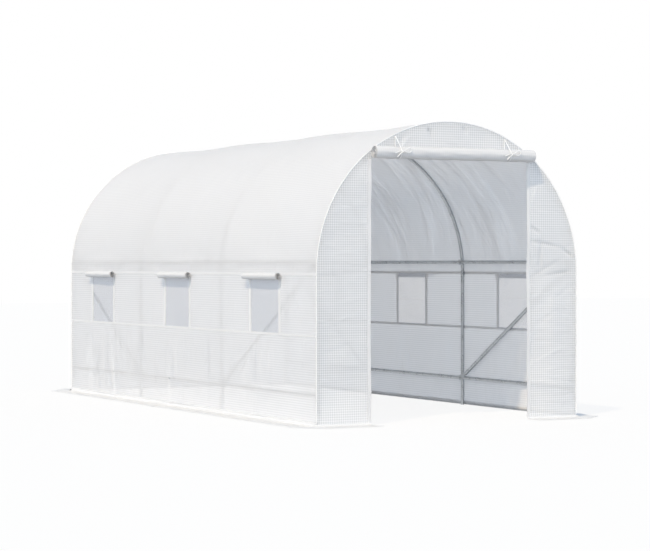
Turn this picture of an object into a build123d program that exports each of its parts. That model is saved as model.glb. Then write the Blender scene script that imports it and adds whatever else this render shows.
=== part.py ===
from build123d import *
import os
from math import atan2, cos, degrees, radians, sin, sqrt, tan

# Walk-in polytunnel greenhouse: a sheet cover on bent steel tubes, with a roll-up door.
# Millimetres. +Z is up, the door end is at low Y and +X is on the right as one faces the door.
# The origin is on the ground, in the middle of the tunnel.

# Overall sizes, over the cover
width = 2000.0
length = 4500.0
height = 2000.0

# Cover
sheet = 2.0
fit_gap = 0.3
hem_bend = 15.0
skirt_width = 180.0
waist_seam_drop = 16.0

# Steel frame
tube = 25.0
lug = 2.0
lug_gap = 0.2
lug_width = 36.0
lug_beyond_bolt = 10.0
rail_lug_reach = 29.0
brace_lug_reach = 60.0
arch_count = 4
mid_rail_rise = 67.0
ground_rail_height = 202.0
bow_sides = 8

# Door
door_width = 1200.0
header_rise = 218.0
door_roll = 85.0
door_roll_beyond = 20.0
zip_width = 25.0
zip_thick = 1.5

# Windows, one in each bay on both sides, a little behind the bay's middle
window_width = 425.0
window_shift = 38.0
window_rise = 382.0
window_drop = 10.0
mesh_lap = 8.0
mesh_thick = 1.0
strip_width = 35.0
strip_thick = 1.0
flap_roll = 50.0
flap_roll_length = 540.0
flap_roll_drop = 2.0

# Ties that hold the rolled door
tie_spacing = 840.0
tie_rise = 112.0
tie_width = 8.0
tie_thick = 1.2
tie_cord = 5.0
cord_sides = 5
cord_bend_share = 0.45
knot_sides = 12
knot_width = 14.0
knot_depth = 10.0
knot_lift = 7.0

# Sizes that follow from those above
half_width = width / 2
half_length = length / 2
tube_radius = tube / 2
hem_height = hem_bend + sheet
arch_inset = sheet + fit_gap
lug_inset = arch_inset + tube + lug_gap
lug_layer = lug + lug_gap
lug_tip = 2 * sqrt(tube_radius**2 - lug_beyond_bolt**2)
end_arch_y = half_length - sheet - fit_gap - tube_radius
arch_pitch = length / (arch_count - 1)
bays = arch_count - 1
door_top = height - header_rise
tie_top = door_top + tie_rise
tie_radius = door_roll / 2 + fit_gap + tie_thick / 2
door_roll_y = -half_length - fit_gap - tie_thick / 2 - tie_radius

# The arch outline is a half circle over upright sides, and the mid rail is on its lowest part
spring_height = height - half_width
mid_rail_height = spring_height + mid_rail_rise
mid_rail_sine = mid_rail_rise / half_width
mid_rail_cosine = sqrt(1 - mid_rail_sine**2)

# Heights on the sides, from the springing down
waist_seam_height = spring_height - waist_seam_drop
window_head = waist_seam_height - window_drop
window_sill = window_head - window_rise
flap_roll_height = window_head - flap_roll_drop


def arch_outline(inset, foot):
    """Outline of the tunnel, moved in by inset, from a foot height up, over and down."""
    side = half_width - inset
    return [
        Line((-side, foot), (-side, spring_height)),
        CenterArc((0, spring_height), side, 180, -180),
        Line((side, spring_height), (side, foot)),
    ]


def across(y):
    """Plane across the tunnel at y, seen from the door: local x is X and local y is Z."""
    return Plane(origin=(0, y, 0), x_dir=(1, 0, 0), z_dir=(0, -1, 0))


def slab(sketch, y_low, thickness):
    """A sketch across the tunnel, thickened from y_low towards the rear."""
    return extrude(across(y_low + thickness) * sketch, amount=thickness)


def box(low, high):
    """A plain block between two corners."""
    size = [h - l for l, h in zip(low, high)]
    centre = [(h + l) / 2 for l, h in zip(low, high)]
    return Pos(*centre) * Box(*size)


def both_sides(shape):
    """A left and a right copy of a shape that is drawn on the right."""
    return {"left": mirror(shape, about=Plane.YZ), "right": shape}


# Frame: bent bows on straight legs


def bow(y):
    """Bent upper tube of an arch. The section has flats narrower than a finger, to stay light."""
    foot = Plane(
        origin=(half_width - arch_inset - tube_radius, y, spring_height), z_dir=(0, 0, 1)
    )
    section = foot * RegularPolygon(tube_radius, bow_sides)
    return revolve(section, Axis((0, y, spring_height), (0, -1, 0)), 180)


def leg(y, side):
    """Straight tube from the ground to the foot of the bow."""
    x = side * (half_width - arch_inset - tube_radius)
    return Pos(x, y, 0) * extrude(Circle(tube_radius), amount=spring_height)


def arch_positions():
    """Y of each arch: the end arches stand just inside the end panels."""
    inner = [-half_length + arch_pitch * i for i in range(1, arch_count - 1)]
    return [-end_arch_y, *inner, end_arch_y]


def lug_tube(reach, lug_reach):
    """A tube between two bolts, with flattened ends.

    It lies along X from bolt to bolt, with the lugs' outer face on the XY plane and flush
    with the tube on the other side.
    """
    body_length = reach - 2 * lug_reach
    body = Pos(reach / 2, 0, lug - tube_radius) * Rot(0, 90, 0) * Cylinder(
        tube_radius, body_length
    )
    tongue = Rectangle(lug_reach + lug_beyond_bolt, lug_width)
    tongue = chamfer(tongue.vertices().group_by(Axis.X)[0], (lug_width - lug_tip) / 2)
    near = extrude(Pos((lug_reach - lug_beyond_bolt) / 2, 0) * tongue, amount=lug)
    far = Pos(reach, 0, 0) * Rot(0, 0, 180) * near
    return body + near + far


def seated(piece, start, towards, inward, layer):
    """Places a lug tube from one bolt towards another, on the inner side of the arches."""
    origin = Vector(*start) + Vector(*inward) * (lug_inset + layer * lug_layer)
    return Plane(origin=origin, x_dir=towards, z_dir=inward) * piece


def rail(x, z, inward):
    """The three tubes of one rail, beside a line along the cover at x and z.

    Tubes of the end bays lap over the middle ones.
    """
    ys = arch_positions()
    tubes = []
    for bay in range(bays):
        piece = lug_tube(ys[bay + 1] - ys[bay], rail_lug_reach)
        layer = 1 if bay in (0, bays - 1) else 0
        tubes.append(seated(piece, (x, ys[bay], z), (0, 1, 0), inward, layer))
    return Compound(children=tubes)


def brace(low_y, high_y):
    """Diagonal from a ground joint on an inner arch up to the mid joint on an end arch.

    It leans in a little, to lie over the edge of the mid rail's lug.
    """
    low = Vector(half_width - lug_inset - 2 * lug_layer, low_y, ground_rail_height)
    rail_lug_face = half_width - lug_inset - lug_layer - lug
    rail_lug_edge = rail_lug_face * mid_rail_cosine - lug_width / 2 * mid_rail_sine
    high = Vector(rail_lug_edge - lug_gap, high_y, mid_rail_height)
    towards = (high - low).normalized()
    inward = towards * towards.X - Vector(1, 0, 0)
    piece = lug_tube((high - low).length, brace_lug_reach)
    return Plane(origin=low, x_dir=towards, z_dir=inward) * piece


# Cover: roof, walls with window openings, end panels and a skirt


def roof_cover():
    """One sheet from the left waist seam over the arches to the right waist seam."""
    outer = arch_outline(0, waist_seam_height)
    inner = arch_outline(sheet, waist_seam_height)
    side, inside = half_width, half_width - sheet
    feet = [
        Line((-side, waist_seam_height), (-inside, waist_seam_height)),
        Line((side, waist_seam_height), (inside, waist_seam_height)),
    ]
    return slab(make_face(Wire([*outer, *inner, *feet])), -half_length, length)


def window_centres():
    """Y of each window: the middle of its bay, moved a little towards the rear."""
    return [-half_length + arch_pitch * (i + 0.5) + window_shift for i in range(bays)]


def side_wall():
    """Right wall from the skirt's bend up to the waist seam, with the windows cut through."""
    low = (half_width - sheet, -half_length, hem_height)
    wall = box(low, (half_width, half_length, waist_seam_height))
    for y in window_centres():
        reach = window_width / 2
        cut_low = (half_width - 2 * sheet, y - reach, window_sill)
        wall -= box(cut_low, (half_width + sheet, y + reach, window_head))
    return wall


def end_face():
    """The flat shape inside the roof sheet, from the skirt's bend up."""
    inset = sheet + fit_gap
    edges = arch_outline(inset, hem_height)
    side = half_width - inset
    edges.append(Line((-side, hem_height), (side, hem_height)))
    return make_face(Wire(edges))


def front_pieces():
    """Front panels beside the doorway and the header above it."""
    face = end_face()
    half_door = door_width / 2
    panel_width = half_width - half_door
    middle = half_door + panel_width / 2
    side_area = Pos(middle, height / 2) * Rectangle(panel_width, height)
    header_area = Pos(0, door_top + header_rise / 2) * Rectangle(door_width, header_rise)
    right = slab(face & side_area, -half_length, sheet)
    header = slab(face & header_area, -half_length, sheet)
    return both_sides(right), header


def skirt_profile():
    """Section of a skirt: a quarter bend out of the wall, then flat on the ground.

    Local x runs outwards from the wall's outer face and local y is height.
    """
    centre = (hem_bend, hem_height)
    inside = CenterArc(centre, hem_bend, 180, 90)
    outside = CenterArc(centre, hem_height, 180, 90)
    top = Line((0, hem_height), (-sheet, hem_height))
    upper = Line((hem_bend, sheet), (skirt_width, sheet))
    edge = Line((skirt_width, sheet), (skirt_width, 0))
    lower = Line((skirt_width, 0), (hem_bend, 0))
    return make_face(Wire([inside, outside, top, upper, edge, lower]))


def side_skirt():
    """Right skirt, along the whole wall."""
    return slab(Pos(half_width, 0) * skirt_profile(), -half_length, length)


def corner_flap():
    """Flat mitred corner between a side skirt and an end skirt, at the right rear."""
    inside = half_width - sheet
    corner = [(inside, half_length), (half_width + skirt_width, half_length)]
    corner.append((inside, half_length + skirt_width))
    return extrude(make_face(Polyline(*corner, close=True)), amount=sheet)


def end_skirt(x_low, x_high):
    """Rear skirt between two places across the tunnel, between the side skirts' bends."""
    plane = Plane(origin=(x_low, half_length, 0), x_dir=(0, 1, 0), z_dir=(1, 0, 0))
    return extrude(plane * skirt_profile(), amount=x_high - x_low)


# Windows and their rolled flaps


def window_meshes():
    """Mesh panels sewn behind the right wall's windows."""
    x = half_width - sheet - mesh_thick
    reach = window_width / 2 + mesh_lap
    panels = []
    for y in window_centres():
        low = (x, y - reach, window_sill - mesh_lap)
        high = (x + mesh_thick, y + reach, window_head + mesh_lap)
        panels.append(box(low, high))
    return Compound(children=panels)


def window_strips():
    """Flap fastening strips beside the right wall's windows."""
    strips = []
    for y in window_centres():
        for near in (y - window_width / 2 - strip_width, y + window_width / 2):
            low = (half_width, near, window_sill)
            head = flap_roll_height - flap_roll / 2
            high = (half_width + strip_thick, near + strip_width, head)
            strips.append(box(low, high))
    return Compound(children=strips)


def window_rolls():
    """Rolled-up flaps over the right wall's windows."""
    x = half_width + fit_gap + flap_roll / 2
    rolls = []
    for y in window_centres():
        roll = Rot(90, 0, 0) * Cylinder(flap_roll / 2, flap_roll_length)
        rolls.append(Pos(x, y, flap_roll_height) * roll)
    return Compound(children=rolls)


# Door roll, zips and ties


def rolled_door():
    """The door sheet rolled up against the front. It reaches a little beyond the right jamb."""
    roll = Rot(0, 90, 0) * Cylinder(door_roll / 2, door_width + door_roll_beyond)
    return Pos(door_roll_beyond / 2, door_roll_y, door_top) * roll


def door_zip():
    """Zip tape on the right front panel, along the doorway."""
    low = (door_width / 2, -half_length - zip_thick, hem_height)
    return box(low, (door_width / 2 + zip_width, -half_length, door_top - door_roll / 2))


def strap_outline(radius):
    """Edges round the door roll and up to the stitches on the header, like a drop.

    Local x runs to the rear from the roll's axis and local y runs up. The drop is a circle
    with two tangents, the rear one upright, that meet above the roll.
    """
    lean = atan2(tie_top - door_top, tie_radius)
    peak = (radius, radius * tan(lean))
    front = (radius * cos(2 * lean), radius * sin(2 * lean))
    under = CenterArc((0, 0), radius, 2 * degrees(lean), 360 - 2 * degrees(lean))
    return Wire([Line((radius, 0), peak), Line(peak, front), under])


def tie_strap(x):
    """Tape from the header, behind and under the rolled door and up its front, with the knot."""
    band = make_face(strap_outline(tie_radius + tie_thick / 2))
    band -= make_face(strap_outline(tie_radius - tie_thick / 2))
    middle = Plane(origin=(x, door_roll_y, door_top), x_dir=(0, 1, 0), z_dir=(1, 0, 0))
    strap = extrude(middle * band, amount=tie_width / 2, both=True)
    depth = knot_depth + tie_thick / 2
    front = knot_centre(x)[1] - knot_depth / 2
    face = Plane(origin=(x, front, door_top + knot_lift), z_dir=(0, 1, 0))
    knot = extrude(face * RegularPolygon(knot_width / 2, knot_sides), amount=depth)
    return strap + knot


def knot_centre(x):
    """Middle of the knot, on the front of the strap."""
    outside = sqrt((tie_radius + tie_thick / 2) ** 2 - knot_lift**2)
    return (x, door_roll_y - outside - knot_depth / 2, door_top + knot_lift)


def cord_tube(points, start):
    """A plain cord from a start point: straight runs with an arc at each corner."""
    route = [Vector(*start) + Vector(*point) for point in points]
    radii = []
    for before, corner, after in zip(route, route[1:], route[2:]):
        run = min((corner - before).length, (after - corner).length)
        turn = (corner - before).get_angle(after - corner)
        radii.append(cord_bend_share * run / tan(radians(turn) / 2))
    path = FilletPolyline(*route, radius=radii)
    section = Plane(origin=path @ 0, z_dir=path % 0) * RegularPolygon(tie_cord / 2, cord_sides)
    return sweep(section, path=path)


def write(name, shape):
    """Writes one node's solids to its own file."""
    shape.label = name
    export_step(shape, f"parts/{name}.step")


os.makedirs("parts", exist_ok=True)

arch_names = ["front_arch", "second_arch", "third_arch", "rear_arch"]
ys = arch_positions()
for name, y in zip(arch_names, ys):
    write(name + "_bow", bow(y))
    write(name + "_legs", Compound(children=[leg(y, -1), leg(y, 1)]))

write("ridge_rail", rail(0, height, (0, 0, -1)))
mid_rail_x = half_width * mid_rail_cosine
mid_rail = rail(mid_rail_x, mid_rail_height, (-mid_rail_cosine, 0, -mid_rail_sine))
for side, shape in both_sides(mid_rail).items():
    write(side + "_mid_rail", shape)
for side, shape in both_sides(rail(half_width, ground_rail_height, (-1, 0, 0))).items():
    write(side + "_ground_rail", shape)
for side, shape in both_sides(brace(ys[1], ys[0])).items():
    write(side + "_front_brace", shape)
for side, shape in both_sides(brace(ys[-2], ys[-1])).items():
    write(side + "_rear_brace", shape)

write("roof_cover", roof_cover())
for side, shape in both_sides(side_wall()).items():
    write(side + "_wall", shape)
front_panels, front_header = front_pieces()
for side, shape in front_panels.items():
    write("front_" + side + "_panel", shape)
write("front_header", front_header)
write("rear_panel", slab(end_face(), half_length - sheet, sheet))
for side, shape in both_sides(side_skirt()).items():
    write(side + "_skirt", shape)

half_door = door_width / 2
right_corner = corner_flap()
left_corner = mirror(right_corner, about=Plane.YZ)
inside = half_width - sheet
write("rear_skirt", end_skirt(-inside, inside) + right_corner + left_corner)
front_right = mirror(end_skirt(half_door, inside) + right_corner, about=Plane.XZ)
for side, shape in both_sides(front_right).items():
    write("front_" + side + "_skirt", shape)

for side, shape in both_sides(window_meshes()).items():
    write(side + "_window_mesh", shape)
for side, shape in both_sides(window_strips()).items():
    write(side + "_window_strips", shape)
for side, shape in both_sides(window_rolls()).items():
    write(side + "_window_rolls", shape)

# Routes of the cords, from the side of the knot
bow_loop = [(0, 0, 0), (13, 0, -2), (28, -1, -7), (46, 0, -8), (60, 0, 0), (64, 0, 12)]
bow_loop += [(54, 0, 22), (36, -1, 20), (18, -7, 11), (2, -12, 2), (-13, -9, -8)]
bow_loop += [(-28, -4, -21), (-43, -1, -38)]
bow_tail = [(0, 0, 0), (-13, 0, -2), (-28, -1, -7), (-45, 0, -15)]

tie_places = (-tie_spacing / 2, tie_spacing / 2)
exit_reach = knot_width / 2 + fit_gap
loops, tails = [], []
for x in tie_places:
    knot_x, knot_y, knot_z = knot_centre(x)
    loops.append(cord_tube(bow_loop, (knot_x + exit_reach, knot_y, knot_z)))
    tails.append(cord_tube(bow_tail, (knot_x - exit_reach, knot_y, knot_z)))
write("door_tie_straps", Compound(children=[tie_strap(x) for x in tie_places]))
write("door_tie_loops", Compound(children=loops))
write("door_tie_tails", Compound(children=tails))

write("door_roll", rolled_door())
for side, shape in both_sides(door_zip()).items():
    write("door_zip_" + side, shape)
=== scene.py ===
from math import asin, atan2, cos, pi, radians, sin

import bpy
import numpy as np
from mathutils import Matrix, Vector


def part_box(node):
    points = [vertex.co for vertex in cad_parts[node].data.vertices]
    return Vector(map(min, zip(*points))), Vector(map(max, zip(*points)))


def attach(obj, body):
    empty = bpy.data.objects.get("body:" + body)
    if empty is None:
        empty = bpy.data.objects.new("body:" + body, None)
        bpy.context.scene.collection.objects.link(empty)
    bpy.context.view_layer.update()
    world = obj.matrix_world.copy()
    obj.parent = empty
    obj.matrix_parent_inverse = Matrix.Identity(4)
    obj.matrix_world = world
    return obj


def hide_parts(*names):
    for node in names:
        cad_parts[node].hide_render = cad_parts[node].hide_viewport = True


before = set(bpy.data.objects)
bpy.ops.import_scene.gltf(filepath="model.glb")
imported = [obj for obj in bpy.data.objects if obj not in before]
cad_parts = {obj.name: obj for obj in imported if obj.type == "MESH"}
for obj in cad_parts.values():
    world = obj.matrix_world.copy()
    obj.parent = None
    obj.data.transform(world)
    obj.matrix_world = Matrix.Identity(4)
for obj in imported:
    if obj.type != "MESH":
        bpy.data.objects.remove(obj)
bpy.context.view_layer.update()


# Camera. The tunnel is seen from the front left at chest height, through a long lens,
# with the door end nearer.
camera_place = (-7.260, -14.591, 1.0545)
camera_turn = 27.121  # degrees from +Y towards +X
camera_dip = 0.3143  # degrees below level
camera_lens = 118.97  # millimetres, for a picture 36 mm wide

camera = bpy.data.objects.new("camera", bpy.data.cameras.new("camera"))
camera.data.lens = camera_lens
camera.data.sensor_width = 36
camera.location = camera_place
camera.rotation_euler = (radians(90 - camera_dip), 0, radians(-camera_turn))
bpy.context.scene.collection.objects.link(camera)
bpy.context.scene.camera = camera


# Door ties. Two cotton cords are sewn to the header, pass behind and under the rolled door
# and are tied in a bow in front of it: a knot, one loop and two short tails.
class Wire:
    """A socket of a material. Arithmetic on it adds Math nodes, and node() adds any other."""

    def __init__(self, tree, socket=None):
        self.tree = tree
        self.socket = socket

    def node(self, kind, settings=None, sockets=None, output=0):
        """Adds a node: its settings first, then values or wires for its sockets."""
        made = self.tree.nodes.new(kind)
        for name, value in (settings or {}).items():
            if name == "stops":
                ramp = made.color_ramp.elements
                while len(ramp) < len(value):
                    ramp.new(0.5)
                for stop, (place, shade) in zip(ramp, value):
                    stop.position = place
                    stop.color = shade
            else:
                setattr(made, name, value)
        for name, value in (sockets or {}).items():
            if isinstance(value, Wire):
                self.tree.links.new(value.socket, made.inputs[name])
            else:
                made.inputs[name].default_value = value
        return Wire(self.tree, made.outputs[output])

    def maths(self, operation, *others):
        return self.node("ShaderNodeMath", {"operation": operation}, dict(enumerate((self, *others))))

    def split(self):
        """The three parts of a vector."""
        parts = self.node("ShaderNodeSeparateXYZ", {}, {0: self}).socket.node.outputs
        return [Wire(self.tree, part) for part in parts]

    def sine(self, length):
        """A sine wave along this wire, from -1 to 1, with a wave length in metres."""
        return (self * (2 * pi / length)).maths("SINE")

    def ramp(self, low, high):
        """0 up to the low value, 1 from the high value on, and straight between them."""
        return self.node(
            "ShaderNodeMapRange",
            {"clamp": True},
            {"Value": self, "From Min": low, "From Max": high},
        )

    def __add__(self, other):
        return self.maths("ADD", other)

    def __sub__(self, other):
        return self.maths("SUBTRACT", other)

    def __mul__(self, other):
        return self.maths("MULTIPLY", other)

    def __rsub__(self, other):
        return self * -1 + other

    __radd__ = __add__
    __rmul__ = __mul__


def new_material(name):
    """An empty material and the wire that its nodes are made from."""
    material = bpy.data.materials.new(name)
    material.use_nodes = True
    material.node_tree.nodes.clear()
    return material, Wire(material.node_tree)


def surface_of(start, shader):
    """Leads a shader to the material's output."""
    output = start.tree.nodes.new("ShaderNodeOutputMaterial")
    start.tree.links.new(shader.socket, output.inputs["Surface"])


def two_colours(start, share, first, second):
    """A colour between two, by a wire from 0 to 1."""
    sockets = {0: share, 6: first, 7: second}  # 6, 7 and the output 2 are a Mix node's colours
    return start.node("ShaderNodeMix", {"data_type": "RGBA"}, sockets, output=2)


def bumped(start, height, distance, strength=1.0):
    """A normal from a height wire, where height 1 stands up by the distance."""
    return start.node(
        "ShaderNodeBump", {}, {"Height": height, "Distance": distance, "Strength": strength}
    )


def cotton(name, colour, strand):
    """Twisted cotton: fine slanted strands, with painted shade a little darker between them."""
    material, start = new_material(name)
    place = start.node("ShaderNodeTexCoord", output="Object")
    weave = start.node(
        "ShaderNodeTexWave",
        {"wave_type": "BANDS", "bands_direction": "DIAGONAL"},
        {"Vector": place, "Scale": 0.31 / strand, "Distortion": 1.5, "Detail": 1.0},
        output="Fac",
    )
    # Painted shade: the grooves between the strands get the darker colour.
    groove_shade = tuple(0.88 * c for c in colour) + (1,)
    shade = two_colours(start, weave, groove_shade, (*colour, 1))
    shader = start.node(
        "ShaderNodeBsdfPrincipled",
        {},
        {
            "Base Color": shade,
            "Roughness": 0.85,
            "Specular IOR Level": 0.2,
            "Sheen Weight": 0.2,
            "Normal": bumped(start, weave, 0.2 * strand),
        },
    )
    surface_of(start, shader)
    return material


def solid(name, points, faces, uv=None, smooth=True):
    """A mesh object from arrays of points and of quads, with a UV map where one is given."""
    mesh = bpy.data.meshes.new(name)
    mesh.vertices.add(len(points))
    mesh.vertices.foreach_set("co", np.ascontiguousarray(points, np.float32).ravel())
    sizes = np.full(len(faces), faces.shape[1])
    mesh.loops.add(faces.size)
    mesh.loops.foreach_set("vertex_index", faces.ravel().astype(np.int32))
    mesh.polygons.add(len(faces))
    mesh.polygons.foreach_set("loop_start", (np.cumsum(sizes) - sizes).astype(np.int32))
    mesh.polygons.foreach_set("use_smooth", np.full(len(faces), smooth))
    mesh.update(calc_edges=True)
    if uv is not None:
        layer = mesh.uv_layers.new(name="along")
        layer.data.foreach_set("uv", uv[faces.ravel()].astype(np.float32).ravel())
    mesh.validate()
    piece = bpy.data.objects.new(name, mesh)
    bpy.context.scene.collection.objects.link(piece)
    return piece


def tube(points, radius, sides, side_way, closed=False):
    """Points and quads of a tube: circles round a path, square to it.

    The path's direction at each point is the step between its neighbours. side_way is a
    direction that the path never takes, from which the circle's two axes follow by cross
    products. radius is one number or one for each point. An open tube ends in flat caps
    that are drawn in to one point.
    """
    points = np.asarray(points, float)
    if closed:
        ahead = np.roll(points, -1, 0) - np.roll(points, 1, 0)
    else:
        ahead = np.gradient(points, axis=0)
    ahead /= np.linalg.norm(ahead, axis=1)[:, None]
    across = np.cross(np.broadcast_to(side_way, ahead.shape), ahead)
    across /= np.linalg.norm(across, axis=1)[:, None]
    up = np.cross(ahead, across)
    turn = np.linspace(0, 2 * pi, sides, endpoint=False)[None, :, None]
    reach = np.broadcast_to(np.asarray(radius, float), len(points))[:, None, None]
    rings = points[:, None] + reach * (np.cos(turn) * across[:, None] + np.sin(turn) * up[:, None])
    if not closed:
        first, last = points[:1, None].repeat(sides, 1), points[-1:, None].repeat(sides, 1)
        rings = np.concatenate([first, rings, last])
    count = len(rings)
    i = np.arange(count if closed else count - 1)[:, None]
    j = np.arange(sides)[None, :]
    following, beside = (i + 1) % count, (j + 1) % sides
    quads = np.stack(
        [i * sides + j, i * sides + beside, following * sides + beside, following * sides + j], -1
    )
    return rings.reshape(-1, 3), quads.reshape(-1, 4)


def joined(parts):
    """Several (points, quads) as one."""
    starts = np.cumsum([0] + [len(points) for points, _ in parts[:-1]])
    quads = [quads + start for (_, quads), start in zip(parts, starts)]
    return np.concatenate([points for points, _ in parts]), np.concatenate(quads)


def finished(piece, material, slot, *nodes):
    """Gives a piece its material, and lets it ride and stand for its CAD nodes."""
    piece.data.materials.append(material)
    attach(piece, "root")
    if nodes:
        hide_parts(*nodes)
    return piece


roll_low, roll_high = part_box("door_roll")
door_roll_radius = (roll_high.z - roll_low.z) / 2
door_roll_y = (roll_low.y + roll_high.y) / 2
door_roll_z = (roll_low.z + roll_high.z) / 2
door_roll_x = (roll_low.x + roll_high.x) / 2

tie_places = (-0.42, 0.42)
tie_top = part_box("door_tie_straps")[1].z
tie_gap = 0.0009  # from the roll to the middle of the tape
tie_thick = 0.0012
tape_half_width = 0.0045
tape_half_thick = 0.0008
cord_radius = 0.0034
knot_lift = 0.007
knot_depth = 0.010
knot_reach = 0.0073
knot_size = 0.0015
knot_cord_radius = 0.0022
knot_y = door_roll_y - door_roll_radius - tie_thick - knot_depth / 2

# Routes of the cords, in millimetres from where each leaves the knot.
bow_loop = [(0, 0, 0), (13, 0, -2), (28, -1, -7), (46, 0, -8), (60, 0, 0), (64, 0, 12)]
bow_loop += [(54, 0, 22), (36, -1, 20), (18, -7, 11), (2, -12, 2), (-13, -9, -8)]
bow_loop += [(-28, -4, -21), (-43, -1, -38)]
bow_tail = [(0, 0, 0), (-13, 0, -2), (-28, -1, -7), (-45, 0, -15)]

tie_cotton = cotton("tie_cotton", (0.96, 0.96, 0.96), 0.0016)


def free_cord(name, route, start, node):
    """A smooth cord from a start point, by given points in millimetres."""
    curve = bpy.data.curves.new(name, "CURVE")
    curve.dimensions = "3D"
    curve.bevel_depth = cord_radius
    curve.bevel_resolution = 4
    curve.use_fill_caps = True
    line = curve.splines.new("NURBS")
    line.points.add(len(route) - 1)
    for point, (x, y, z) in zip(line.points, route):
        point.co = (start[0] + x / 1000, start[1] + y / 1000, start[2] + z / 1000, 1)
    line.order_u = 3
    line.use_endpoint_u = True
    line.resolution_u = 8
    piece = bpy.data.objects.new(name, curve)
    bpy.context.scene.collection.objects.link(piece)
    finished(piece, tie_cotton, "tie_cord", node)


def tie_line(x):
    """Path of the tie: up behind the roll to its top, down in front of it and round below.

    It is a circle round the roll's axis with two tangents that meet above it.
    """
    reach = door_roll_radius + tie_gap
    lean = atan2(tie_top - door_roll_z, reach)
    turn = np.linspace(2 * lean, 2 * pi, 60)
    circle = np.stack([reach * np.cos(turn), reach * np.sin(turn)], -1)
    rise = np.linspace(0, 1, 20)[1:, None]
    peak = np.array([reach, tie_top - door_roll_z - cord_radius])
    back = circle[-1] + rise * (peak - circle[-1])
    front = peak + rise[:-1] * (circle[0] - peak)
    line = np.concatenate([circle, back, front])
    return np.stack([np.full(len(line), x), door_roll_y + line[:, 0], door_roll_z + line[:, 1]], -1)


def knot_line(x):
    """A trefoil: three crossing turns, drawn tight."""
    t = np.linspace(0, 2 * pi, 48, endpoint=False)
    across = np.sin(t) + 2 * np.sin(2 * t)
    up = np.cos(t) - 2 * np.cos(2 * t)
    deep = -np.sin(3 * t)
    middle = (x, knot_y, door_roll_z + knot_lift)
    return np.stack([across, 1.4 * deep, up], -1) * knot_size + middle


strap_sides = 8
strap_parts = []
for x in tie_places:
    # The tape starts as a round tube of radius 1, and is pressed to its width and thickness.
    points, quads = tube(tie_line(x), 1, strap_sides, (1, 0, 0), closed=True)
    rings = points.reshape(-1, strap_sides, 3)
    middle = rings.mean(1, keepdims=True)
    rings = middle + (rings - middle) * (tape_half_width, tape_half_thick, tape_half_thick)
    strap_parts.append((rings.reshape(-1, 3), quads))
    strap_parts.append(tube(knot_line(x), knot_cord_radius, strap_sides, (0.1, 1, 0.15), closed=True))
straps = solid("door_tie_tapes", *joined(strap_parts))
finished(straps, tie_cotton, "tie_cord", "door_tie_straps")

for side, x in zip(("left", "right"), tie_places):
    height = door_roll_z + knot_lift
    free_cord(
        side + "_tie_loop", bow_loop, (x + knot_reach, knot_y, height),
        "door_tie_loops",
    )
    free_cord(
        side + "_tie_tail", bow_tail, (x - knot_reach, knot_y, height),
        "door_tie_tails",
    )


# Steel frame. Galvanised 25 mm tube: bent bows pushed onto straight legs, with rails and
# braces whose ends are pressed flat and bolted to the arches.
def galvanised(name):
    """Zinc-grey steel: cloudy spangle, faint draw lines and duller patches."""
    material, start = new_material(name)
    place = start.node("ShaderNodeTexCoord", output="Object")
    cloud = start.node(
        "ShaderNodeTexNoise", {}, {"Vector": place, "Scale": 14.0, "Detail": 3.0}, output="Fac"
    )
    spangle = start.node(
        "ShaderNodeTexVoronoi", {}, {"Vector": place, "Scale": 160.0}, output="Distance"
    )
    shade = two_colours(start, cloud, (0.38, 0.40, 0.42, 1), (0.52, 0.54, 0.56, 1))
    rough = 0.18 + cloud * 0.14 + spangle * 0.08
    shader = start.node(
        "ShaderNodeBsdfPrincipled",
        {},
        {
            "Base Color": shade,
            "Metallic": 0.9,
            "Roughness": rough,
            "Normal": bumped(start, spangle, 0.0002),
        },
    )
    surface_of(start, shader)
    return material


steel = galvanised("galvanised_steel")
for name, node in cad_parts.items():
    if name.endswith(("_legs", "_rail", "_brace")):
        node.data.materials.clear()
        node.data.materials.append(steel)

cover_low, cover_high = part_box("roof_cover")
half_width = cover_high.x
half_length = cover_high.y
top = round(cover_high.z, 3)
waist = cover_low.z
spring = top - half_width
spring_reach = pi / 2 * half_width

cover_depth = 0.0023  # from the cover's outer face to the frame
tube_radius = 0.0125
tube_inset = cover_depth + tube_radius


def over_arch(reach, inset=0.0):
    """Points on the cover's outline and the outward directions there, from the ridge.

    reach is the distance along the outer face, right of the ridge if positive. The outline
    is a half circle over upright walls.
    """
    reach = np.asarray(reach, float)
    side, far = np.sign(reach), np.abs(reach)
    angle = np.minimum(far / half_width, pi / 2)
    x = (half_width - inset) * np.sin(angle)
    z = spring + (half_width - inset) * np.cos(angle) - np.maximum(far - spring_reach, 0)
    return side * x, z, side * np.sin(angle), np.cos(angle)


bow_names = ("front_arch", "second_arch", "third_arch", "rear_arch")
plug_length = 0.02  # each bow's ends are drawn in over this length, to push into the legs
for name in bow_names:
    low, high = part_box(name + "_bow")
    reach = np.linspace(-spring_reach, spring_reach, 121)
    x, z, _, _ = over_arch(reach, tube_inset)
    line = np.stack([x, np.full(len(x), (low.y + high.y) / 2), z], -1)
    near_end = np.minimum(spring_reach - np.abs(reach), plug_length) / plug_length
    piece = solid(name + "_tube", *tube(line, tube_radius * (0.9 + 0.1 * near_end), 20, (0, 1, 0)))
    finished(piece, steel, "galvanised_tube", name + "_bow")


# Cover. Woven polyethylene sheet, milk white, with a 16 mm grid of stronger threads. One
# sheet is stretched over the arches from waist to waist, and light shines through it.
grid_pitch = 0.016
sheet_thick = 0.001
full_crease_shade = 0.006  # depth at which a crease gets its fullest painted shade and light
rail_clearance = 0.0028
half_bay = 0.75
arch_ys = [0.5 * (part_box(n + "_bow")[0].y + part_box(n + "_bow")[1].y) for n in bow_names]


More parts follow.
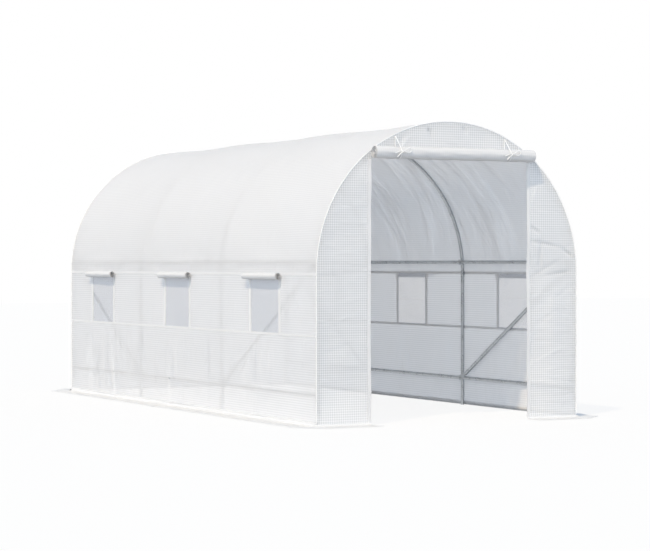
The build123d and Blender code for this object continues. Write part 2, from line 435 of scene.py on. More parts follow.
def woven_sheet(name, through, clear, cell, thread, grid, glow_colour=(0.94, 0.945, 0.955)):
    """Milk-white sheet with a grid of threads, through which light shines.

    through is the share of light that goes on scattered, in the glow colour, and clear the
    share that goes straight on between the threads, at each face. cell and thread are the
    colours between the threads and where two of them cross, and grid is how much less light
    goes straight on there. Along a crease more light is passed and less reflected: painted
    shade on its lit face and painted light on the other.
    """
    material, start = new_material(name)
    place = start.node("ShaderNodeTexCoord", output="Object")
    along, across, _ = start.node("ShaderNodeUVMap", {"uv_map": "along"}).split()
    threads = (along.sine(grid_pitch).ramp(-0.4, 0.9) + across.sine(grid_pitch).ramp(-0.4, 0.9)) * 0.5
    broad = start.node(
        "ShaderNodeTexNoise", {}, {"Vector": place, "Scale": 2.3, "Detail": 2.0}, output="Fac"
    )
    fine = start.node(
        "ShaderNodeTexNoise",
        {},
        {"Vector": place, "Scale": 7.0, "Detail": 3.0, "Distortion": 0.8},
        output="Fac",
    )
    film = two_colours(start, broad, tuple(0.965 * c for c in cell) + (1,), (*cell, 1))
    shade = two_colours(start, threads, film, (*thread, 1))
    stretched = start.node("ShaderNodeCombineXYZ", {}, {0: along * 2.2, 1: across * 13.0})
    folds = start.node(
        "ShaderNodeTexNoise",
        {},
        {"Vector": stretched, "Scale": 1.0, "Detail": 2.0, "Distortion": 0.5},
        output="Fac",
    )
    sharp = ((folds - 0.5).maths("ABSOLUTE") * 5).maths("MINIMUM", 1.0)
    height = threads * 0.06 + fine * 0.4 + sharp * broad.ramp(0.38, 0.6) * 0.9
    bump = bumped(start, height, 0.004, 0.7)
    body = start.node(
        "ShaderNodeBsdfPrincipled",
        {},
        {
            "Base Color": shade,
            "Roughness": 0.44 + broad * 0.12,
            "Specular IOR Level": 0.3,
            "Normal": bump,
        },
    )
    glow = start.node(
        "ShaderNodeBsdfTranslucent", {}, {"Color": (*glow_colour, 1), "Normal": bump}
    )
    # Painted crease shade: where the sheet is pressed in, more light is passed and less reflected, so
    # a crease is darker on its lit face and lighter on the other.
    crease = start.node("ShaderNodeAttribute", {"attribute_name": "crease"}, output="Fac")
    passed = crease * 0.20 + through - threads * 0.06
    lit = start.node("ShaderNodeMixShader", {}, {0: passed, 1: body, 2: glow})
    gap = start.node("ShaderNodeBsdfTransparent")
    surface_of(start, start.node(
        "ShaderNodeMixShader", {}, {0: clear - threads * (grid * clear), 1: lit, 2: gap}
    ))
    return material


def uneven(a, b, cell, seed):
    """Smooth random heights from -1 to 1: a lattice of random numbers, one to a cell, with
    smooth steps between them. The lattice repeats after a number of cells."""
    cells = 67
    lattice = np.random.default_rng(seed).uniform(-1, 1, (cells, cells))
    i, j = np.asarray(a) / cell, np.asarray(b) / cell
    low_i, low_j = np.floor(i).astype(int), np.floor(j).astype(int)
    u, v = i - low_i, j - low_j
    u, v = u * u * (3 - 2 * u), v * v * (3 - 2 * v)

    def at(p, q):
        return lattice[p % cells, q % cells]

    near = at(low_i, low_j) * (1 - u) + at(low_i + 1, low_j) * u
    far = at(low_i, low_j + 1) * (1 - u) + at(low_i + 1, low_j + 1) * u
    return near * (1 - v) + far * v


def ridges(a, b, places):
    """Soft ridges in a sheet: each is a bell shape across and a longer bell shape along.

    A place is the ridge's middle, half length, half width, turn from the first axis and
    height.
    """
    total = np.zeros(np.shape(a))
    for at_a, at_b, length, width, turn, height in places:
        along = (a - at_a) * cos(turn) + (b - at_b) * sin(turn)
        across = (b - at_b) * cos(turn) - (a - at_a) * sin(turn)
        total += height * np.exp(-((along / length) ** 2) - (across / width) ** 2)
    return total


def strewn(count, low, high, length, width, turn, height, seed):
    """Places for ridges, strewn over a rectangle, with random sizes either side of those
    given."""
    rng = np.random.default_rng(seed)
    middles = rng.uniform(low, high, (count, 2))
    sizes = rng.uniform(0.5, 1.5, (count, 2)) * (length, width)
    turns = turn + 0.16 * rng.standard_normal(count)
    heights = height * rng.uniform(-1, 1, count)
    return np.column_stack([middles, sizes, turns, heights])


def slack(y):
    """How free the sheet is at y: 0 on an arch and 1 half way between two."""
    nearest = np.min(np.abs(np.asarray(y)[..., None] - np.array(arch_ys)), -1)
    return np.sin(np.minimum(nearest / half_bay, 1) * pi / 2) ** 2


def strip_of(low, high, step, *stops):
    """Grid lines from low to high, a step apart, that also pass through the stops."""
    ends = sorted({low, high, *[s for s in stops if low < s < high]})
    runs = [
        np.linspace(a, b, max(int(round((b - a) / step)), 1), endpoint=False)
        for a, b in zip(ends, ends[1:])
    ]
    return np.concatenate([*runs, [high]])


def sheet_grid(name, points, flat, skip=None, thick=sheet_thick, ridge=None):
    """A sheet from a grid of outer points and their places on the flat cut.

    Quads join neighbours in the grid, apart from those that skip marks, and the sheet gets
    its thickness inwards, with a sharp rim. ridge is the height of the ridges at each point,
    from which the material paints shade and light along the creases.
    """
    rows, columns = points.shape[:2]
    number = np.arange(rows * columns).reshape(rows, columns)
    quads = np.stack(
        [number[:-1, :-1], number[1:, :-1], number[1:, 1:], number[:-1, 1:]], -1
    ).reshape(-1, 4)
    if skip is not None:
        quads = quads[~skip.ravel()]
    used, renumbered = np.unique(quads, return_inverse=True)
    piece = solid(
        name, points.reshape(-1, 3)[used], renumbered.reshape(-1, 4), flat.reshape(-1, 2)[used]
    )
    edge_of = np.empty(len(piece.data.loops), np.int32)
    piece.data.loops.foreach_get("edge_index", edge_of)
    rim = piece.data.attributes.new("sharp_edge", "BOOLEAN", "EDGE")
    rim.data.foreach_set("value", np.bincount(edge_of, minlength=len(piece.data.edges)) == 1)
    if ridge is not None:
        # Crease depth, for the painted crease shade and light in the material.
        depth = np.clip(-ridge.ravel()[used] / full_crease_shade, -1, 1)
        crease = piece.data.attributes.new("crease", "FLOAT", "POINT")
        crease.data.foreach_set("value", depth.astype(np.float32))
    wall = piece.modifiers.new("thickness", "SOLIDIFY")
    wall.thickness = thick
    wall.offset = -1
    wall.use_even_offset = True
    return piece


mid_rail_rise = 0.067
rail_turn = asin(mid_rail_rise / half_width)
ground_z = (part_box("left_ground_rail")[0].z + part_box("left_ground_rail")[1].z) / 2
rail_reaches = np.array([0, half_width * (pi / 2 - rail_turn), spring_reach + spring - ground_z])


def room_over_rails(reach):
    """How far the sheet may come in at a reach: hardly at all where a rail lies under it."""
    nearest = np.min(np.abs(np.abs(reach)[..., None] - rail_reaches), -1)
    return rail_clearance + 0.02 * np.clip((nearest - tube_radius) / 0.16, 0, 1)


def cover_points(reach, y, out=0.0):
    """Outer face of the cover: over_arch pulled in between the arches, with soft creases.

    The sag is greatest half way between two arches, and creases run down from the arches.
    """
    x, z, nx, nz = over_arch(reach)
    free = slack(y)
    sag = 0.012 * free * np.where(np.abs(reach) < spring_reach, 1, 0.45)
    waves = 0.0035 * uneven(reach, y, 0.33, 3) + 0.0012 * uneven(reach, y, 0.14, 4)
    push = (waves + ridges(reach, y, cover_ridges)) * (0.15 + 0.85 * free) - sag
    push = np.maximum(push, -np.minimum(room_over_rails(reach), 0.001 + 0.03 * free)) + out
    return np.stack([x + nx * push, y + 0 * x, z + nz * push], -1)


cover_ridges = np.concatenate([
    strewn(40, (-1.5, -2.2), (0.0, 2.2), 0.20, 0.022, 0.0, 0.003, 5),
    strewn(50, (0.0, -2.2), (1.5, 2.2), 0.20, 0.022, 0.0, 0.006, 9),
    *[
        strewn(56, (0.35, arch - 0.80), (1.45, arch - 0.06), 0.17, 0.017, -0.14, 0.012, 6 + number)
        for number, arch in enumerate(arch_ys[1:])
    ],
    strewn(18, (0.5, arch_ys[1] + 0.05), (1.4, arch_ys[1] + 0.45), 0.18, 0.016, 0.12, 0.011, 12),
])
film = woven_sheet(
    "milk_sheet", through=0.42, clear=0.25, cell=(0.935, 0.94, 0.965), thread=(0.965, 0.97, 0.98),
    grid=0.25, glow_colour=(0.965, 0.948, 0.93),
)
roof_reach = spring_reach + spring - waist
reach, y = np.meshgrid(
    strip_of(-roof_reach, roof_reach, 0.030),
    strip_of(-half_length, half_length, 0.0165, *arch_ys),
    indexing="ij",
)
roof = sheet_grid(
    "roof_sheet", cover_points(reach, y), np.stack([reach, y], -1),
    ridge=ridges(reach, y, cover_ridges),
)
finished(roof, film, "cover_sheet", "roof_cover")


# Side walls. The same sheet goes on from the waist seam down to the hem, in front of the
# legs, with three window openings cut in each side.
film_wall = woven_sheet(
    "milk_sheet_walls", through=0.28, clear=0.42, cell=(0.96, 0.96, 0.975),
    thread=(0.98, 0.98, 0.985), grid=0.35,
)
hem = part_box("left_wall")[0].z
wall_ridges = np.concatenate([
    strewn(60, (0.1, -2.2), (0.5, 2.2), 0.11, 0.020, 0.0, 0.005, 7),
    strewn(30, (0.1, 1.1), (0.5, 2.2), 0.12, 0.018, 0.1, 0.006, 8),
])
window_shift = 0.038
window_ys = [bay + window_shift for bay in (-1.5, 0.0, 1.5)]
window_half = 0.2125
window_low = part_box("left_window_strips")[0].z
window_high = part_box("left_window_mesh")[1].z - 0.008


def wall_points(side, y, z, out=0.0):
    """Outer face of a side wall at y and z, with the cover's creases going on down and
    upright folds in the lowest part."""
    reach = side * (spring_reach + spring - z)
    points = cover_points(reach, y, out)
    calm = np.clip((z - hem) / 0.06, 0, 1) * np.clip((window_low - 0.02 - z) / 0.08, 0, 1)
    points[..., 0] -= side * calm * (0.1 + 0.9 * slack(y)) * ridges(z, y, wall_ridges)
    return points


def flipped(turn, *grids, axis=1):
    """The grids as they are or, where turn is true, the other way along one axis, which turns
    their faces round."""
    return [np.flip(grid, axis) if turn else grid for grid in grids]


for side, sign in (("left", -1), ("right", 1)):
    z, y = np.meshgrid(
        strip_of(hem, waist, 0.024, window_low, window_high),
        strip_of(-half_length, half_length, 0.025, *arch_ys, *[
            centre + edge for centre in window_ys for edge in (-window_half, window_half)
        ]),
        indexing="ij",
    )
    middle_y = (y[:-1, :-1] + y[1:, 1:]) / 2
    middle_z = (z[:-1, :-1] + z[1:, 1:]) / 2
    beside = np.min(np.abs(middle_y[..., None] - np.array(window_ys)), -1) < window_half
    opening = beside & (middle_z > window_low) & (middle_z < window_high)
    points, y, z, opening = flipped(side == "right", wall_points(sign, y, z), y, z, opening)
    wall = sheet_grid(
        side + "_wall_sheet", points, np.stack([z, y], -1), opening, ridge=ridges(z, y, wall_ridges)
    )
    finished(wall, film_wall, "cover_sheet", side + "_wall")


# Front and rear. Two panels beside the doorway and a header above it are sewn to the roof
# sheet, and a closed panel shuts the rear. They hang a little slack, with a few creases.
end_faces = {
    "left": -half_length, "right": -half_length, "header": -half_length, "rear": half_length
}
end_seeds = {"left": 21, "right": 31, "header": 41, "rear": 51}
end_ridges = {
    "left": strewn(14, (-1.0, 0.2), (-0.6, 1.7), 0.09, 0.012, 0.2, 0.003, 22),
    "right": np.concatenate([
        strewn(14, (0.6, 0.2), (1.0, 1.7), 0.10, 0.012, 0.5, 0.003, 32),
        [
            (0.665, 1.285, 0.045, 0.009, -0.45, -0.011), (0.74, 1.19, 0.12, 0.009, -0.15, -0.009),
            (0.71, 1.11, 0.09, 0.010, 1.5, -0.007), (0.86, 0.99, 0.10, 0.009, 0.15, -0.007),
            (0.93, 1.13, 0.05, 0.009, -0.6, -0.010), (0.66, 1.52, 0.05, 0.010, 1.2, 0.004),
        ],
    ]),
    "header": np.concatenate([
        strewn(16, (-0.5, 1.82), (0.5, 1.95), 0.05, 0.011, 1.3, 0.003, 42),
        [
            (-0.16, 1.930, 0.030, 0.012, -1.2, -0.014), (0.11, 1.960, 0.025, 0.014, -1.3, -0.014),
            (-0.34, 1.86, 0.07, 0.012, 0.9, 0.005), (0.36, 1.86, 0.07, 0.012, -0.8, 0.005),
            (0.02, 1.90, 0.08, 0.012, -0.5, -0.004),
        ],
    ]),
    "rear": strewn(50, (-0.9, 0.2), (0.9, 1.9), 0.12, 0.013, 1.2, 0.004, 52),
}
door_half = 0.6
door_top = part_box("front_header")[0].z
panel_half = half_width - cover_depth
film_end = woven_sheet(
    "milk_sheet_ends", through=0.18, clear=0.48, cell=(0.90, 0.905, 0.915),
    thread=(0.95, 0.95, 0.955), grid=0.4,
)


def end_points(x, z, panel, out=0.0):
    """Outer face of an end panel at x and z: slack, with ridges, and flat near the arch and
    the hem. It doesn't stand out where the rolled door lies against it."""
    outward = np.sign(end_faces[panel])
    inside = half_width - np.hypot(x, np.maximum(z - spring, 0))
    loose = np.clip((inside - 0.02) / 0.07, 0, 1) * np.clip((z - hem) / 0.1, 0, 1)
    off_arch = np.clip((inside - 0.008) / 0.01, 0, 1)
    push = 0.007 * uneven(x, z, 0.20, end_seeds[panel]) - 0.002
    push = push + ridges(x, z, end_ridges[panel]) * off_arch / np.maximum(loose, 0.4)
    if outward < 0:
        below_roll = np.clip((door_top - door_roll_radius - 0.05 - z) / 0.1, 0, 1)
        push = np.minimum(push, 0.006 * below_roll)
    return np.stack([x, end_faces[panel] + outward * (push * loose + out), z], -1)


def outline_height(x):
    """Height of the end panels' outline over x, just inside the roof sheet."""
    return spring + np.sqrt(np.maximum(panel_half ** 2 - x**2, 0))


def end_columns(low, high):
    """Places across an end panel, closer together where the outline turns down."""
    x = over_arch(np.linspace(-spring_reach, spring_reach, 241), cover_depth)[0]
    kept = x[(x > low + 0.004) & (x < high - 0.004)]
    kept = kept[np.concatenate([[True], np.diff(kept) > 0.0008])]
    return np.concatenate([[low], kept, [high]])


def end_panel(name, panel, low, high, foot, node):
    """A flat end panel between two places across, from a foot height up to the outline."""
    columns = end_columns(low, high)
    rows = np.linspace(0, 1, int((top - foot) / 0.014))
    across, share = np.meshgrid(columns, rows, indexing="ij")
    height = foot + share * (outline_height(across) - foot)
    points = end_points(across, height, panel)
    flat = np.stack([across, height], -1)
    ridge = ridges(across, height, end_ridges[panel])
    points, flat, ridge = flipped(panel == "rear", points, flat, ridge, axis=0)
    piece = sheet_grid(name, points, flat, ridge=ridge)
    finished(piece, film_end, "cover_sheet", node)


end_panel("front_left_sheet", "left", -panel_half, -door_half, hem, "front_left_panel")
end_panel("front_right_sheet", "right", door_half, panel_half, hem, "front_right_panel")
end_panel("front_header_sheet", "header", -door_half, door_half, door_top, "front_header")
end_panel("rear_sheet", "rear", -panel_half, panel_half, hem, "rear_panel")

# The edge of each end panel and of the cover is turned in along the end arches, which makes
# the sheet double there and hides the tube.
edge_width = 0.030
edge_thick = 0.0006
edge_inset = 0.0032
edge_foot_gap = 0.02
second_layer = -0.0012  # out from the sheet's outer face to a layer behind it
foot_reach = spring_reach + spring - hem
hem_film = woven_sheet(
    "milk_sheet_hem", through=0.12, clear=0.04, cell=(0.93, 0.93, 0.935),
    thread=(0.95, 0.95, 0.955), grid=0.2,
)


def edge_reach(x):
    """How far round the arch a place across lies. At the cover's sides the turned edge goes
    on down, to just above the hem."""
    if abs(x) == half_width:
        return np.sign(x) * (foot_reach - edge_foot_gap)
    return half_width * asin(x / half_width)


for name, panel, low, high in (
    ("front_left_turned_edge", "left", -half_width, -door_half),
    ("front_header_turned_edge", "header", -door_half, door_half),
    ("front_right_turned_edge", "right", door_half, half_width),
    ("rear_turned_edge", "rear", -half_width, half_width),
):
    inset, reach = np.meshgrid(
        np.linspace(edge_inset, edge_inset + edge_width, 5),
        strip_of(edge_reach(low), edge_reach(high), 0.02),
        indexing="ij",
    )
    x, z, _, _ = over_arch(reach, inset)
    points = end_points(x, z, panel, second_layer)
    points, flat = flipped(panel == "rear", points, np.stack([inset, reach], -1))
    turned_edge = sheet_grid(name, points, flat, thick=edge_thick)
    finished(turned_edge, hem_film, "cover_sheet")

for name, low in (
    ("front_cover_turned_edge", -half_length),
    ("rear_cover_turned_edge", half_length - edge_width),
):
    reach, y = np.meshgrid(
        strip_of(-foot_reach, foot_reach, 0.03), np.linspace(low, low + edge_width, 4), indexing="ij"
    )
    points = cover_points(reach, y, second_layer)
    turned_edge = sheet_grid(name, points, np.stack([reach, y], -1), thick=edge_thick)
    finished(turned_edge, hem_film, "cover_sheet")


# Piping. A white cotton cord, about 7 mm thick, is sewn into the seam between the cover and
# each end panel. It goes round the arch and down to the hem on both sides.
piping_radius = 0.0036
piping_inset = 0.0008  # from the cover's outline to the cord's middle
piping_set_back = 0.0012  # from the end panel's face to the cord's middle
piping_cotton = cotton("piping_cotton", (0.98, 0.98, 0.98), 0.0012)
for name, face in (("front_piping", -half_length), ("rear_piping", half_length)):
    reach = np.linspace(-foot_reach, foot_reach, 261)
    x, z, _, _ = over_arch(reach, piping_inset)
    line = np.stack([x, np.full(len(x), face - np.sign(face) * piping_set_back), z], -1)
    piece = solid(name, *tube(line, piping_radius, 10, (0, 1, 0)))
    finished(piece, piping_cotton, "binding")


# Seam bands. White woven tape is sewn flat on both sides of the cover: over the waist seam,
# under the windows and along the hem, with a row of stitches near each edge.
stitch_pitch = 0.006
band_out = 0.0007


def woven_tape(name, colour):
    """White woven tape with a row of stitches near each edge, where the width coordinate
    is one either way, and painted shade in the low places of the weave."""
    material, start = new_material(name)
    along, across, _ = start.node("ShaderNodeUVMap", {"uv_map": "along"}).split()
    weave = along.sine(0.0012) * across.sine(0.0012) * 0.5 + 0.5
    off_row = (across.maths("ABSOLUTE") - 1.0).maths("ABSOLUTE")
    stitch = along.sine(stitch_pitch).ramp(-0.3, 0.1) * (1 - off_row.ramp(0.05, 0.12))
    # Painted shade: the low places of the weave are a little darker.
    cloth = two_colours(start, weave, tuple(0.93 * c for c in colour) + (1,), (*colour, 1))
    shade = two_colours(start, stitch, cloth, (0.76, 0.77, 0.79, 1))
    body = start.node(
        "ShaderNodeBsdfPrincipled",
        {},
        {
            "Base Color": shade,
            "Roughness": 0.6 + weave * 0.1,
            "Specular IOR Level": 0.3,
            "Normal": bumped(start, weave * 0.2 + stitch, 0.0001),
        },
    )
    glow = start.node("ShaderNodeBsdfTranslucent", {}, {"Color": (0.9, 0.9, 0.91, 1)})
    lit = start.node("ShaderNodeMixShader", {}, {0: 0.12 + weave * 0.06, 1: body, 2: glow})
    surface_of(start, lit)
    return material


binding = woven_tape("white_binding", (0.93, 0.93, 0.935))
seam_tape = woven_tape("seam_tape", (0.92, 0.92, 0.93))


def tape(name, points, along, across, thick=edge_thick, cloth=binding):
    """A sewn tape: a narrow grid of outer points with its length and width as the flat cut.

    The rows of stitches lie where the width coordinate is one either way.
    """
    piece = sheet_grid(name, points, np.stack([along, across], -1), thick=thick)
    return finished(piece, cloth, "binding")


bands = (
    # name, height of its middle, width
    ("waist", waist + 0.003, 0.022),
    ("sill", window_low - 0.009, 0.018),
    ("hem", hem + 0.006, 0.012),
)
for side, sign in (("left", -1), ("right", 1)):
    for level, height, width in bands:
        across, y = np.meshgrid(
            np.linspace(-1, 1, 4), strip_of(-half_length, half_length, 0.03, *arch_ys), indexing="ij"
        )
        points = wall_points(sign, y, height + across * width / 2, band_out)
        points, y, across = flipped(side == "right", points, y, across)
        tape(side + "_" + level + "_band", points, y, across * 1.3, cloth=seam_tape)


# Windows. Fine insect mesh is sewn behind each opening, with a fastening strip on either
# side. The flap is rolled up over it and tied under the waist seam.
def insect_mesh(name):
    """Woven mesh: round threads both ways, with square holes between them, painted lighter on the
    threads' crowns and darker at their sides.
    """
    material, start = new_material(name)
    along, across, _ = start.node("ShaderNodeUVMap", {"uv_map": "along"}).split()
    height = along.sine(mesh_pitch).maths("MAXIMUM", across.sine(mesh_pitch))
    # Painted highlight and shade: each thread is lighter along its crown and darker towards its
    # sides.
    shade = two_colours(start, height * 0.5 + 0.5, (0.66, 0.69, 0.76, 1), (0.78, 0.80, 0.85, 1))
    threads = start.node(
        "ShaderNodeBsdfPrincipled",
        {},
        {
            "Base Color": shade,
            "Roughness": 0.55,
            "Specular IOR Level": 0.3,
            "Normal": bumped(start, height, 0.00005),
        },
    )
    hole = start.node("ShaderNodeBsdfTransparent")
    surface_of(start, start.node(
        "ShaderNodeMixShader", {}, {0: height.ramp(0.42, 0.62), 1: hole, 2: threads}
    ))
    return material


mesh_pitch = 0.0022
mesh_thick = 0.00015
mesh_lap = 0.008
net = insect_mesh("window_net")
strip_width = 0.035
strip_out = 0.0009
flap_low, flap_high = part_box("left_window_rolls")
flap_radius = (flap_high.z - flap_low.z) / 2
flap_z = (flap_low.z + flap_high.z) / 2
flap_x = (flap_high.x + flap_low.x) / 2
flap_half = 0.27
flap_turns = 3.6
flap_core = 0.006
rolled_thick = 0.0012
# The rolled door and window flaps are the cover's sheet, given a darker grey that lets no light
# through: the grey is painted shade for the rolls' shaded turns and undersides.
rolled = woven_sheet(
    "rolled_sheet", through=0.0, clear=0.0, cell=(0.70, 0.70, 0.71), thread=(0.73, 0.73, 0.74),
    grid=0.0,
)


def spiral(turns, outer, core, count):
    """Angles and radii of a roll from its outer layer in, an even step of angle apart."""
    angle = np.linspace(0, 2 * pi * turns, count)
    return angle, outer - (outer - core) * angle / angle[-1]


def window_net(side, sign, name, centre):
    """The mesh panel of one window, sewn on behind the opening with a lap all round."""
    z, y = np.meshgrid(
        np.linspace(window_low - mesh_lap, window_high + mesh_lap, 12),
        np.linspace(centre - window_half - mesh_lap, centre + window_half + mesh_lap, 13),
        indexing="ij",
    )
    points, y, z = flipped(side == "right", wall_points(sign, y, z, second_layer), y, z)
    panel = sheet_grid(name + "_net", points, np.stack([z, y], -1), thick=mesh_thick)
    finished(panel, net, "insect_mesh", side + "_window_mesh")


def window_strips(side, sign, name, centre):
    """The fastening strips on the two sides of one opening."""
    for place, low in (("near", -window_half - strip_width), ("far", window_half)):
        z, across = np.meshgrid(
            np.linspace(window_low, window_high, 14), np.linspace(-1, 1, 4), indexing="ij"
        )
        y = centre + low + (across + 1) / 2 * strip_width
        points = wall_points(sign, y, z, strip_out)
        points, z, across = flipped(side == "right", points, z, across)
        strip = tape(f"{name}_{place}_strip", points, z, across * 1.15)
        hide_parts(side + "_window_strips")


def window_flap(side, sign, name, centre):
    """The flap rolled up over one window: a spiral carried along the wall, with a little
    unevenness in its radius and with layers that don't lie quite edge to edge."""
    angle, radius = spiral(flap_turns, flap_radius, flap_core, int(22 * flap_turns))
    angle, y = np.meshgrid(angle, np.linspace(-flap_half, flap_half, 28), indexing="ij")
    radius = radius[:, None] * (1 + 0.06 * uneven(angle * 0.4, y + centre, 0.09, 81))
    radius = np.minimum(radius, flap_radius)
    layer = angle / angle.max()
    lean = 0.004 * layer * np.sin(angle * 0.31)
    points = np.stack([
        sign * (abs(flap_x) - radius * np.cos(angle)),
        y * (1 - 0.01 * layer) + centre + lean,
        flap_z - radius * np.sin(angle),
    ], -1)
    flat = np.stack([angle * flap_radius * 0.6, y], -1)
    points, flat = flipped(side == "right", points, flat)
    flap = sheet_grid(name + "_flap", points, flat, thick=rolled_thick)
    finished(flap, rolled, "cover_sheet", side + "_window_rolls")


for side, sign in (("left", -1), ("right", 1)):
    for bay, centre in zip(("front", "middle", "rear"), window_ys):
        name = f"{side}_{bay}"
        window_net(side, sign, name, centre)
        window_strips(side, sign, name, centre)
        window_flap(side, sign, name, centre)


# Door. The door sheet is rolled up in nine turns and tied to the header. A zip tape is left
# on each side of the doorway, sewn to the front panels.
zip_width = 0.025
zip_thick = 0.0008
for side, sign in (("left", -1), ("right", 1)):
    z, across = np.meshgrid(
        strip_of(hem, door_top - door_roll_radius, 0.03), np.linspace(-1, 1, 4), indexing="ij"
    )
    x = sign * (door_half + (across + 1) / 2 * zip_width)
    points = end_points(x, z, side, zip_thick)
    points, z, across = flipped(side == "right", points, z, across)
    zip_tape = tape(side + "_zip_tape", points, z, across * 1.2, thick=zip_thick)
    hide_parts("door_zip_" + side)

door_turns = 9
door_core = 0.009
roll_half = (roll_high.x - roll_low.x) / 2
angle, radius = spiral(door_turns, door_roll_radius, door_core, 26 * door_turns)
angle, x = np.meshgrid(angle, np.linspace(-roll_half, roll_half, 64), indexing="ij")
pinch = sum(np.exp(-(((x + door_roll_x - place) / 0.035) ** 2)) for place in tie_places)
loose = 0.06 * uneven(angle * 0.35, x * 1.6, 0.12, 91) + 0.04 * uneven(angle, x, 0.05, 92)
radius = np.minimum(radius[:, None] * (1 + loose - 0.05 * pinch), door_roll_radius)
layer = angle / angle.max()
points = np.stack([
    door_roll_x + x * (1 - 0.006 * layer) + 0.003 * np.sin(angle * 0.23) * layer,
    door_roll_y + radius * np.cos(angle),
    door_roll_z - radius * np.sin(angle),
], -1)
flat = np.stack([angle * door_roll_radius * 0.6, x], -1)
points, flat = flipped(True, points, flat)
door = sheet_grid("rolled_door", points, flat, thick=rolled_thick)
finished(door, rolled, "cover_sheet", "door_roll")


# Bolts. Galvanised M8 bolts join the flattened ends of the rails and braces to the arches.
# The washer, the nut and the end of each bolt stand on the inner side, at every crossing.
bolt_radius = 0.004
lug_thick = 0.002
lug_gap = 0.0002
joint_inset = cover_depth + 2 * tube_radius + 2 * lug_thick + 2 * lug_gap  # over two ends
brace_step = lug_thick + lug_gap
mid_brace_face = 0.9627  # from the tunnel's middle to the joint of mid rail and brace


def turned(profile, sides, centre, axis):
    """A closed turned shape: a profile of (radius, distance) carried round an axis."""
    axis = np.asarray(axis, float)
    side_way = np.array([0.0, 1.0, 0.0])
    up = np.cross(axis, side_way)
    turn = np.linspace(0, 2 * pi, sides, endpoint=False)
    ring = np.cos(turn)[:, None] * side_way + np.sin(turn)[:, None] * up
    radius = np.array([r for r, _ in profile])[:, None, None]
    depth = np.array([d for _, d in profile])[:, None, None]
    points = np.asarray(centre) + radius * ring[None] + depth * axis
    i, j = np.meshgrid(np.arange(len(profile) - 1), np.arange(sides), indexing="ij")
    beside = (j + 1) % sides
    quads = np.stack(
        [i * sides + j, i * sides + beside, (i + 1) * sides + beside, (i + 1) * sides + j], -1
    )
    return points.reshape(-1, 3), quads.reshape(-1, 4)


def rod_end(centre, axis):
    """Washer, nut and the end of the bolt, standing on a flattened tube end."""
    washer = [(0, 0), (0.0085, 0), (0.0085, 0.0015), (0, 0.0015)]
    nut = [(0, 0.0015), (0.0075, 0.0015), (0.0075, 0.0075), (0.0066, 0.0082), (0, 0.0082)]
    rod = [(0, 0.0082), (bolt_radius, 0.0082), (bolt_radius, 0.0115), (0.0033, 0.0122), (0, 0.0122)]
    return [
        turned(washer, 16, centre, axis), turned(nut, 6, centre, axis), turned(rod, 12, centre, axis)
    ]


mid_normal = np.array([cos(rail_turn), 0, sin(rail_turn)])
bolt_parts = []
for number, y in enumerate(arch_ys):
    at_end = number in (0, 3)
    for sign in (-1, 1):
        turn = np.array([sign, 1, 1])
        ground_inset = joint_inset + (0 if at_end else brace_step)
        centre = np.array([half_width - ground_inset, y, ground_z]) * turn
        bolt_parts += rod_end(centre, (-sign, 0, 0))
        if at_end:
            centre = np.array([mid_brace_face, y, spring + mid_rail_rise]) * turn
            bolt_parts += rod_end(centre, (-sign, 0, 0))
        else:
            centre = mid_normal * (half_width - joint_inset) + (0, y, spring)
            bolt_parts += rod_end(centre * turn, -mid_normal * turn)
    bolt_parts += rod_end((0, y, top - joint_inset), (0, 0, -1))
bolts = solid("joint_bolts", *joined(bolt_parts), smooth=False)
finished(bolts, steel, "galvanised_tube")


# Skirt. The cover's lowest 20 cm is bent out at the hem and lies flat on the ground all
# round, to be weighted. It is the same sheet, and its loose edge lifts a little.
skirt_reach = 0.18
laid_height = 0.002  # of the sheet's upper face on the ground
hem_bend = hem - laid_height


def skirt_section(across):
    """Out from the wall and height of the skirt's upper face: a quarter bend, then flat."""
    bend_length = pi / 2 * hem_bend
    angle = np.minimum(across / bend_length, 1) * pi / 2
    out = hem_bend * (1 - np.cos(angle)) + np.maximum(across - bend_length, 0)
    height = hem - hem_bend * np.sin(angle)
    return out, height


def skirt_lift(a, b, share, seed):
    """Low waves of the loose edge."""
    wave = 0.0035 * (1 + uneven(a, b, 0.17, seed)) + 0.002 * (1 + uneven(a, b, 0.06, seed + 1))
    return wave * np.clip(share, 0, 1) ** 1.5


skirt_cut = pi / 2 * hem_bend + skirt_reach - hem_bend
film_skirt = woven_sheet(
    "milk_sheet_skirt", through=0.10, clear=0.10, cell=(0.835, 0.845, 0.865),
    thread=(0.855, 0.865, 0.88), grid=0.2,
)
for side, sign in (("left", -1), ("right", 1)):
    across, y = np.meshgrid(
        strip_of(0, skirt_cut, 0.012, pi / 2 * hem_bend), strip_of(-half_length, half_length, 0.03),
        indexing="ij",
    )
    out, height = skirt_section(across)
    height = height + skirt_lift(y, across, (across - 0.05) / 0.13, 61 + sign)
    points = np.stack([sign * (half_width + out), y, height], -1)
    points, flat = flipped(side == "left", points, np.stack([across, y], -1))
    skirt = sheet_grid(side + "_skirt_sheet", points, flat)
    finished(skirt, film_skirt, "cover_sheet", side + "_skirt")

corner = half_width + skirt_reach
for name, low, high, outward, node in (
    ("front_left_skirt_sheet", -corner, -door_half, -1, "front_left_skirt"),
    ("front_right_skirt_sheet", door_half, corner, -1, "front_right_skirt"),
    ("rear_skirt_sheet", -corner, corner, 1, "rear_skirt"),
):
    x, share = np.meshgrid(
        strip_of(low, high, 0.03, -half_width, half_width), np.linspace(0, 1, 17), indexing="ij"
    )
    room = np.clip((corner - np.abs(x)) / skirt_reach, 0, 1)
    at_wall = np.abs(x) <= half_width
    out, height = skirt_section(share * skirt_cut)
    out = np.where(at_wall, out, share * skirt_reach * room)
    height = np.where(at_wall, height, laid_height)
    height = height + skirt_lift(x, share * 0.2, (share - 0.3) * room, 71)
    points = np.stack([x, outward * (half_length + out), height], -1)
    points, flat = flipped(outward > 0, points, np.stack([x, out], -1), axis=0)
    skirt = sheet_grid(name, points, flat)
    finished(skirt, film_skirt, "cover_sheet", node)


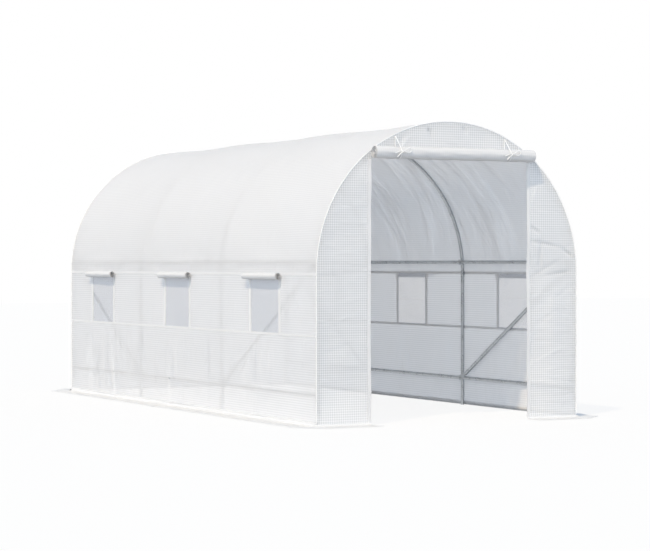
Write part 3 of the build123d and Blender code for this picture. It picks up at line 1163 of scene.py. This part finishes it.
# Floor and light. A white floor, a sky that is bluer and weaker overhead, and one soft sun
# from the front left.
def seen(start):
    """1 for rays from the camera and those that a shiny or clear surface sends on, which show
    the background white. Light that the sheet scatters isn't counted."""
    path = start.node("ShaderNodeLightPath").socket.node.outputs
    straight, mirrored, passed, scattered = (
        Wire(start.tree, path[kind])
        for kind in ("Is Camera Ray", "Is Glossy Ray", "Is Transmission Ray", "Is Diffuse Ray")
    )
    return (straight + mirrored + passed * (1 - scattered)).maths("MINIMUM", 1.0)


floor = solid(
    "floor",
    np.array([(-40, -40, 0), (40, -40, 0), (40, 40, 0), (-40, 40, 0)], float),
    np.array([(0, 1, 2, 3)]),
)
floor_paint, start = new_material("floor_paint")
floor_shade = two_colours(start, seen(start), (0.45, 0.45, 0.45, 1), (0.82, 0.82, 0.82, 1))
dull = start.node("ShaderNodeBsdfDiffuse", {}, {"Color": floor_shade})
white = start.node("ShaderNodeEmission", {}, {"Color": (1, 1, 1, 1), "Strength": 1.0})
shown = start.node("ShaderNodeMixShader", {}, {0: seen(start) * 0.87, 1: dull, 2: white})
surface_of(start, shown)
floor.data.materials.append(floor_paint)

sky = bpy.data.worlds.new("sky")
sky.use_nodes = True
sky.node_tree.nodes.clear()
start = Wire(sky.node_tree)
_, _, steep = start.node("ShaderNodeTexCoord", output="Generated").split()
sky_shade = two_colours(start, steep.ramp(0.0, 0.9), (0.86, 0.925, 0.99, 1), (0.10, 0.17, 0.27, 1))
light = start.node("ShaderNodeBackground", {}, {"Color": sky_shade, "Strength": 1.75})
white = start.node("ShaderNodeBackground", {}, {"Color": (1, 1, 1, 1), "Strength": 1.0})
shown = start.node("ShaderNodeMixShader", {}, {0: seen(start), 1: light, 2: white})
output = sky.node_tree.nodes.new("ShaderNodeOutputWorld")
sky.node_tree.links.new(shown.socket, output.inputs["Surface"])
bpy.context.scene.world = sky

sun = bpy.data.objects.new("sun", bpy.data.lights.new("sun", "SUN"))
sun.data.energy = 2.25
sun.data.color = (1.0, 0.83, 0.60)
sun.data.angle = radians(2)
sun.rotation_euler = Vector((0.507, 0.367, -0.78)).to_track_quat("-Z", "Y").to_euler()
bpy.context.scene.collection.objects.link(sun)
bpy.context.scene.view_settings.view_transform = "Standard"
